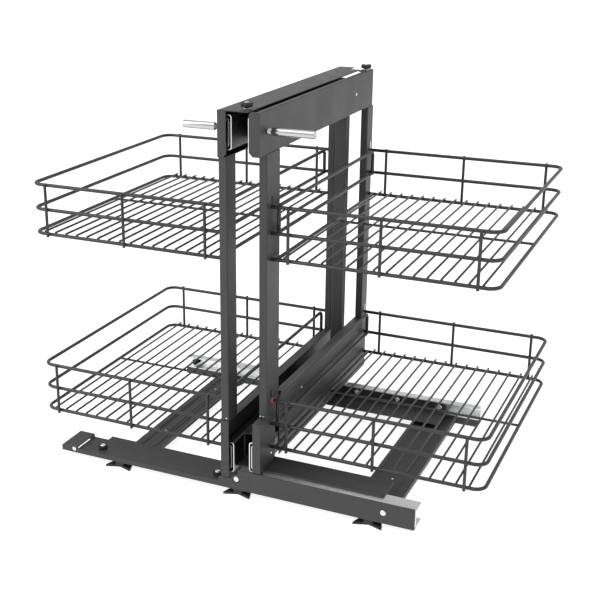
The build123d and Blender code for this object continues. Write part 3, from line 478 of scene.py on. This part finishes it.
for hand, side in (("right", 1), ("left", -1)):
    strips, balls = [], []
    for name in (hand + "_upper", hand + "_lower"):
        low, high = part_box(name + "_slide_outer")
        beam_x = low.x if side > 0 else -high.x
        z = (low.z + high.z) / 2
        length = ball_pitch * ball_count
        middle_low, middle_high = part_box(name + "_slide_middle")
        inner_low, inner_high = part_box(name + "_slide_inner")
        middle_half = (middle_high.z - middle_low.z) / 2
        outer_v = ((high.z - low.z) / 2 - outer_sheet + middle_half) / 2
        inner_v = (middle_half - middle_sheet + (inner_high.z - inner_low.z) / 2) / 2
        rows = ((inner_row_u, inner_v, low.y, inner_web_u),
                (outer_row_u, outer_v, high.y - length, outer_web_u))
        for row_u, row_v, y0, web_u in rows:
            strips.append(retainer(side, beam_x, web_u, row_u, row_v, y0, length, z))
            for index in range(ball_count):
                for up in (-1, 1):
                    balls.append(ball((side * (beam_x + row_u), y0 + (index + 0.5) * ball_pitch,
                                       z + up * row_v), ball_r))
    body = hand + "_slide_middles"
    piece(hand + "_retainer_strips", strips, retainer_steel, body,
          (hand + "_ball_retainers",))
    piece(hand + "_slide_balls", balls, ball_steel, body)


# Frames: the covers, posts, brackets and plates of both sides. Folded sheet, powder-coated
# like the base, held with small bright rivets and screws.
finish_nodes(graphite_coat, ("right_top_channel", "right_front_post", "right_rear_post",
                             "right_front_bracket", "right_bottom_plate", "left_top_cover",
                             "left_front_post", "left_rear_post", "left_bottom_rail"))


def dome(centre, axis, radius, height):
    """A rivet head: a turned arc from its rim to near its pole."""
    turn = np.linspace(0, 1.5, 7)
    rise = np.stack([height * (head_brim + (1 - head_brim) * np.sin(turn)), radius * np.cos(turn)], axis=-1)
    return turned(np.concatenate([[(0, radius)], rise]), centre, axis, 28)


plate_low, plate_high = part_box("right_bottom_plate")
channel_low, channel_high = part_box("right_top_channel")
side_bracket_low, side_bracket_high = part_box("right_front_bracket")
rivet_r, rivet_height, small_r, small_height = 0.0026, 0.001, 0.0013, 0.0005
plate_front_setback, plate_front_drop = 0.095, 0.026
plate_rear_setback, plate_rear_drop = 0.092, 0.088
channel_rear_setback, bracket_setback, bracket_rise = 0.094, 0.0164, 0.0184
side_places = ((plate_low.y + plate_front_setback, plate_high.z - plate_front_drop),
               (plate_high.y - plate_rear_setback, plate_high.z - plate_rear_drop),
               (plate_high.y - channel_rear_setback, (channel_low.z + channel_high.z) / 2),
               (side_bracket_high.y - bracket_setback, side_bracket_low.z + bracket_rise))
right_rivets = [dome((plate_high.x, y, z), (1, 0, 0), rivet_r, rivet_height) for y, z in side_places]
small_inset, small_pitch, small_rise, left_inset = 0.003, 0.005, 0.0043, 0.0095
post_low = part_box("right_front_post")[0]
for x in (post_low.x + small_inset, post_low.x + small_inset + small_pitch):
    right_rivets.append(dome((x, post_low.y, side_bracket_high.z + small_rise), (0, -1, 0), small_r,
                             small_height))
piece("right_frame_rivet_heads", right_rivets, screw_steel, "right_frame",
      ("right_frame_rivets",))
post_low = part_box("left_front_post")[0]
rail_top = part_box("left_bottom_rail")[1].z
left_rivets = [dome((post_low.x + left_inset, post_low.y, rail_top + small_rise), (0, -1, 0), small_r,
                    small_height)]
piece("left_frame_rivet_heads", left_rivets, screw_steel, "left_frame",
      ("left_frame_rivets",))


# Handle pins: turned steel bars, chrome-plated, screwed into the frames by a thinner neck.
def chrome_plate(name):
    """Bright decorative chrome over nickel: a near mirror with faint turning lines round the bar."""
    finish, tree, place = new_finish(name)
    lines = drawn_noise(tree, place, (0.5, 6.0, 6.0), 2.0)
    skin(tree, {"Metallic": 1.0}, between(tree, "#a2a3a6", "#cfcfd1", lines),
         spread(tree, lines, 0.07, 0.17), lines, 0.08, 0.00005)
    return finish


chrome_bar = chrome_plate("chrome_plate")
neck_r, neck_length, shoulder, bar_rim = 0.0042, 0.006, 0.0001, 0.0015
thread_pitch, thread_depth = 0.001, 0.0004
for hand, side in (("right", 1), ("left", -1)):
    low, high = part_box(hand + "_handle_pin")
    length, radius = high.x - low.x, (high.z - low.z) / 2
    root = (low.x if side > 0 else high.x, (low.y + high.y) / 2, (low.z + high.z) / 2)
    crest = np.arange(0, neck_length, thread_pitch / 2)
    thread = np.stack([crest, neck_r - thread_depth * (np.arange(len(crest)) % 2)], axis=-1)
    bar = rounded_rod(length - neck_length, radius, bar_rim, 5) + np.array([neck_length, 0])
    profile = np.concatenate([thread, [(neck_length - shoulder, neck_r)], bar])
    piece(hand + "_handle_bar", [turned(profile, root, (side, 0, 0), 48)], chrome_bar,
          hand + "_frame", (hand + "_handle_pin",))


# Knobs: moulded black grips on the top covers, with six lobes and a stem through the sheet. A
# bright steel insert shows in the top, and a bright washer lies on the sheet.
lobe_count, lobe_depth = 6, 0.2


def lobed(turn):
    """The grip's radius as a share: 1 at a lobe, less in the rounded valleys between lobes."""
    return 1 - lobe_depth * (0.5 - 0.5 * np.cos(lobe_count * turn)) ** 2


knob_stem_r, knob_stem_sink, knob_stem_rim = 0.0038, 0.001, 0.0002
knob_cap, knob_cap_rim = 0.0065, 0.0014
washer_r, washer_thick, knob_play = 0.005, 0.0012, 0.0003
insert_r, insert_rise, insert_sink, metal_rim = 0.0032, 0.0004, 0.0012, 0.0003
for name in ("front_knob", "rear_knob"):
    low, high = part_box(name)
    at = ((low.x + high.x) / 2, (low.y + high.y) / 2, low.z)
    cap_top = high.z - low.z - insert_rise
    cap_foot = cap_top - knob_cap
    grip = rounded_rod(knob_cap, (high.x - low.x) / 2, knob_cap_rim) + np.array([cap_foot, 0])
    stem = rounded_rod(cap_foot + knob_stem_sink, knob_stem_r, knob_stem_rim)
    washer = rounded_rod(washer_thick, washer_r, metal_rim)
    insert = rounded_rod(insert_rise + insert_sink, insert_r, metal_rim)
    insert += np.array([cap_top - insert_sink, 0])
    washer_z = channel_high.z - low.z + knob_play
    parts = [turned(grip, at, (0, 0, 1), 72, lobed), turned(stem, at, (0, 0, 1)),
             turned(washer, at, (0, 0, 1))]
    piece(name + "_moulded", parts, black_plastic, name, (name,))
    metalwork = [turned(washer + np.array([washer_z, 0]), at, (0, 0, 1)), turned(insert, at, (0, 0, 1))]
    piece(name + "_metalwork", metalwork, screw_steel, name)


# Wire baskets: 6 mm rings, 5 mm uprights, 4.4 mm cross wires and 3.6 mm floor rods of steel wire,
# resistance-welded, then powder-coated dark. Each hooks into slots in its frame's posts.
def smooth_path(corners, bend, steps=8):
    """Straight runs between the corners, with each corner an arc of the bend radius, worked out as
    points of a circle tangent to both runs."""
    corners = np.array(corners, float)
    points = [corners[0]]
    for before, corner, after in zip(corners, corners[1:], corners[2:]):
        back = (before - corner) / np.linalg.norm(before - corner)
        onward = (after - corner) / np.linalg.norm(after - corner)
        turn = np.arccos(np.clip(back @ onward, -1, 1))
        trim = bend / np.tan(turn / 2)
        middle = corner + (back + onward) / np.linalg.norm(back + onward) * bend / np.sin(turn / 2)
        start, end = corner + back * trim - middle, corner + onward * trim - middle
        share = np.linspace(0, 1, steps + 1)[:, None]
        sweep = pi - turn
        arc = (np.sin((1 - share) * sweep) * start + np.sin(share * sweep) * end) / np.sin(sweep)
        points += list(middle + arc)
    return np.array(points + [corners[-1]])


def wire(corners, radius, bend=0.0, sides=14, rim=0.0006):
    """A circle carried along a path that lies in one plane, with the cut ends' rims rounded. One
    axis of the circle is square to that plane, the other square to the path."""
    path = smooth_path(corners, bend) if len(corners) > 2 else np.array(corners, float)
    ends = np.array([0.0, rim_step, 1.0]) * rim
    first, last = path[1] - path[0], path[-1] - path[-2]
    first, last = first / np.linalg.norm(first), last / np.linalg.norm(last)
    spine = np.concatenate([path[0] + ends[:, None] * first, path[1:-1],
                            path[-1] - ends[::-1, None] * last])
    reach = np.full(len(spine), radius)
    reach[[0, -1]] -= rim
    reach[[1, -2]] -= rim_step * rim
    along = np.gradient(spine, axis=0)
    along /= np.linalg.norm(along, axis=1)[:, None]
    if len(corners) > 2:
        square = np.cross(first, np.subtract(corners[2], corners[1]))
    else:
        square = np.array(Vector(first).orthogonal())
    square = square / np.linalg.norm(square)
    beside = np.cross(along, square)
    turn = np.linspace(0, 2 * pi, sides, endpoint=False)
    circle = np.cos(turn)[None, :, None] * square + np.sin(turn)[None, :, None] * beside[:, None, :]
    points = spine[:, None, :] + reach[:, None, None] * circle
    return points.reshape(-1, 3), grid_faces(len(spine), sides)


def weld_bead(centre, size):
    """A small spot weld: a low squashed ball whose long way lies across the joint, along X."""
    turn = np.linspace(0.3, pi - 0.3, 5)
    profile = np.stack([-size * np.cos(turn), 0.62 * size * np.sin(turn)], axis=-1)
    return turned(profile, centre, (1, 0, 0), 8)


# The second colour is painted along the wires' edges: partly coat wear, partly a painted highlight.
wire_coat = powder_coat("dark_wire_powder_coat", "#232324", "#29292a", 0.42, 0.0002)
wire_r, upright_r, rod_r, cross_r = 0.003, 0.0025, 0.0018, 0.0022
rail_bead, upright_bead, rod_bead = 0.0033, 0.00375, 0.00243
weld_sink, hook_depth, corner_bend = 0.0008, 0.0035, 0.018
rod_pitch, rod_inset, rod_over_front, rod_over_rear, rod_rim = 0.0206, 0.0215, 0.001, 0.0055, 0.0004
upright_count, upright_over, upright_under, upright_inset, upright_pitch = 3, 0.003, 0.004, 0.029, 0.147
ring_count, rail_gap, rail_end, cross_share = 3, 0.0078, 0.01, 0.54


def basket(node, side):
    """The wires of one basket, worked out from its CAD box: three rings, uprights on them, rails
    along the frame, rods across the floor, and a bead at each spot weld."""
    low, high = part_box(node)
    x_frame = min(abs(low.x), abs(high.x)) + hook_depth
    x_ring = max(abs(low.x), abs(high.x)) - wire_r
    x_rail = x_frame + rail_gap
    y_front, y_rear = low.y + wire_r + 2 * upright_r, high.y - wire_r - 2 * upright_r
    ends = ((y_front, -1), (y_rear, 1))
    top = high.z - upright_over
    step = (top - low.z - upright_under) / (ring_count - 1)
    levels = [top - index * step for index in range(ring_count)]
    parts = []

    def run(places, *shape, **more):
        parts.append(wire([(side * x, y, z) for x, y, z in places], *shape, **more))

    def bead(x, y, z, size):
        parts.append(weld_bead((side * x, y, z), size))

    for index, z in enumerate(levels):
        x0 = x_frame - (hook_depth if index == 0 else 0)
        run([(x0, y_front, z), (x_ring, y_front, z), (x_ring, y_rear, z), (x0, y_rear, z)], wire_r,
            corner_bend)
        if index == 0:
            y0, y1 = y_front + rail_end, y_rear - rail_end
            run([(x_rail, y0, levels[1]), (x_rail, y0, z), (x_rail, y1, z), (x_rail, y1, levels[1])],
                wire_r, corner_bend / 2)
            continue
        run([(x_rail, y_front, z), (x_rail, y_rear, z)], wire_r)
        for y, way in ends:
            bead(x_rail, y - way * wire_r, z, rail_bead)
    for index in range(upright_count):
        x = x_frame + upright_inset + index * upright_pitch
        for y, way in ends:
            y_rod = y + way * (wire_r + upright_r - weld_sink)
            run([(x, y_rod, levels[-1] - upright_under), (x, y_rod, top + upright_over)], upright_r)
            for z in levels:
                bead(x, y + way * wire_r, z, upright_bead)
    z_bearing = levels[-1] + wire_r
    z_rod = z_bearing + rod_r - weld_sink / 2
    count = int((x_ring - x_frame - rod_inset - 2 * wire_r) / rod_pitch) + 1
    for index in range(count):
        x = x_frame + rod_inset + index * rod_pitch
        run([(x, y_front - rod_over_front, z_rod), (x, y_rear + rod_over_rear, z_rod)], rod_r, sides=10,
            rim=rod_rim)
        for y in (y_front, y_rear):
            bead(x, y, z_bearing, rod_bead)
    y_cross = y_front + (y_rear - y_front) * cross_share
    z_cross = z_bearing - cross_r
    run([(x_rail, y_cross, z_cross), (x_ring, y_cross, z_cross)], cross_r, sides=12)
    return parts


for hand, side in (("right", 1), ("left", -1)):
    for level in ("upper", "lower"):
        node = hand + "_" + level + "_basket"
        piece(node + "_wires", basket(node, side), wire_coat, hand + "_frame", (node,),
              crease=50.0)


# Wire cap: a short sleeve pushed on one basket wire where it meets the post. Moulded in
# orange-red plastic, with rounded rims.
orange_plastic = moulded_plastic("orange_red_plastic", "#a04f35", 0.5, 0.5)
sleeve_rim = 0.0009
low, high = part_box("basket_wire_cap")
sleeve = rounded_rod(high.x - low.x, (high.z - low.z) / 2, sleeve_rim)
sleeve_at = (low.x, (low.y + high.y) / 2, (low.z + high.z) / 2)
piece("basket_wire_sleeve", [turned(sleeve, sleeve_at, (1, 0, 0))], orange_plastic,
      "right_frame", ("basket_wire_cap",))


# Floor, light and camera: a white sweep under even studio light from above, seen from the front
# right and a little above.
def studio_floor():
    """A square sheet, smooth and pale, with the faintest mottle of painted board. It is lit from
    behind like a light table, so shadows on it stay faint."""
    half, glow = 40.0, 0.86
    mesh = bpy.data.meshes.new("studio_floor")
    corners = [(-half, -half, 0), (half, -half, 0), (half, half, 0), (-half, half, 0)]
    mesh.from_pydata(corners, [], [(0, 1, 2, 3)])
    finish, tree, place = new_finish("white_paper_sweep")
    mottle = add_node(tree, "ShaderNodeTexNoise", {"Scale": 3.0, "Detail": 2.0}, {"Vector": place})
    paper = add_node(tree, "ShaderNodeBsdfPrincipled",
                     {"Roughness": 0.9, "Specular IOR Level": 0.1, "Emission Color": (1, 1, 1, 1),
                      "Emission Strength": glow},
                     {"Base Color": between(tree, "#a4a4a4", "#a8a8a8", mottle.outputs["Fac"])})
    add_node(tree, "ShaderNodeOutputMaterial", None, {"Surface": paper.outputs["BSDF"]})
    mesh.materials.append(finish)
    floor = bpy.data.objects.new("studio_floor", mesh)
    bpy.context.scene.collection.objects.link(floor)


studio_floor()
world = bpy.data.worlds.new("studio_air")
world.use_nodes = True
world.node_tree.nodes.clear()
air = add_node(world.node_tree, "ShaderNodeBackground", {"Color": (1, 1, 1, 1), "Strength": 0.85})
add_node(world.node_tree, "ShaderNodeOutputWorld", None, {"Surface": air.outputs["Background"]})
bpy.context.scene.world = world
bpy.context.scene.view_settings.view_transform = "Standard"


def lamp(name, kind, energy, place, target, size):
    """A soft lamp at a place, turned to look at its target."""
    data = bpy.data.lights.new(name, kind)
    data.energy = energy
    if kind == "AREA":
        data.size = size
    else:
        data.angle = size
    made = bpy.data.objects.new(name, data)
    way = Vector(target) - Vector(place)
    made.matrix_world = Matrix.Translation(place) @ way.to_track_quat("-Z", "Y").to_matrix().to_4x4()
    bpy.context.scene.collection.objects.link(made)


lamp("overhead_sun", "SUN", 0.9, (-1.0, -1.5, 4.0), (0, 0, 0), radians(50))
lamp("left_softbox", "AREA", 30.0, (-1.9, -1.7, 1.7), (0, 0, 0.35), 1.4)
lamp("right_softbox", "AREA", 4.0, (2.3, -1.0, 1.4), (0, 0, 0.35), 1.2)

camera_at = (0.69826, -1.70153, 0.91547)
yaw, pitch, roll = -0.4435, 0.3371, -0.0043
picture_px, focal_px, sensor_mm = 600.0, 1109.195, 36.0
ahead = Vector((sin(yaw) * cos(pitch), cos(yaw) * cos(pitch), -sin(pitch)))
level = Vector((cos(yaw), -sin(yaw), 0))
upward = level.cross(ahead)
right = cos(roll) * level + sin(roll) * upward
upward = cos(roll) * upward - sin(roll) * level
lens = bpy.data.cameras.new("catalogue_camera")
lens.sensor_fit = "HORIZONTAL"
lens.sensor_width = sensor_mm
lens.lens = focal_px / picture_px * sensor_mm
lens.shift_x, lens.shift_y = 0.0927, -0.0093
lens.clip_end = 200.0
camera = bpy.data.objects.new("catalogue_camera", lens)
camera_turn = Matrix((right, upward, -ahead)).transposed().to_4x4()
camera.matrix_world = Matrix.Translation(camera_at) @ camera_turn
bpy.context.scene.collection.objects.link(camera)
bpy.context.scene.camera = camera
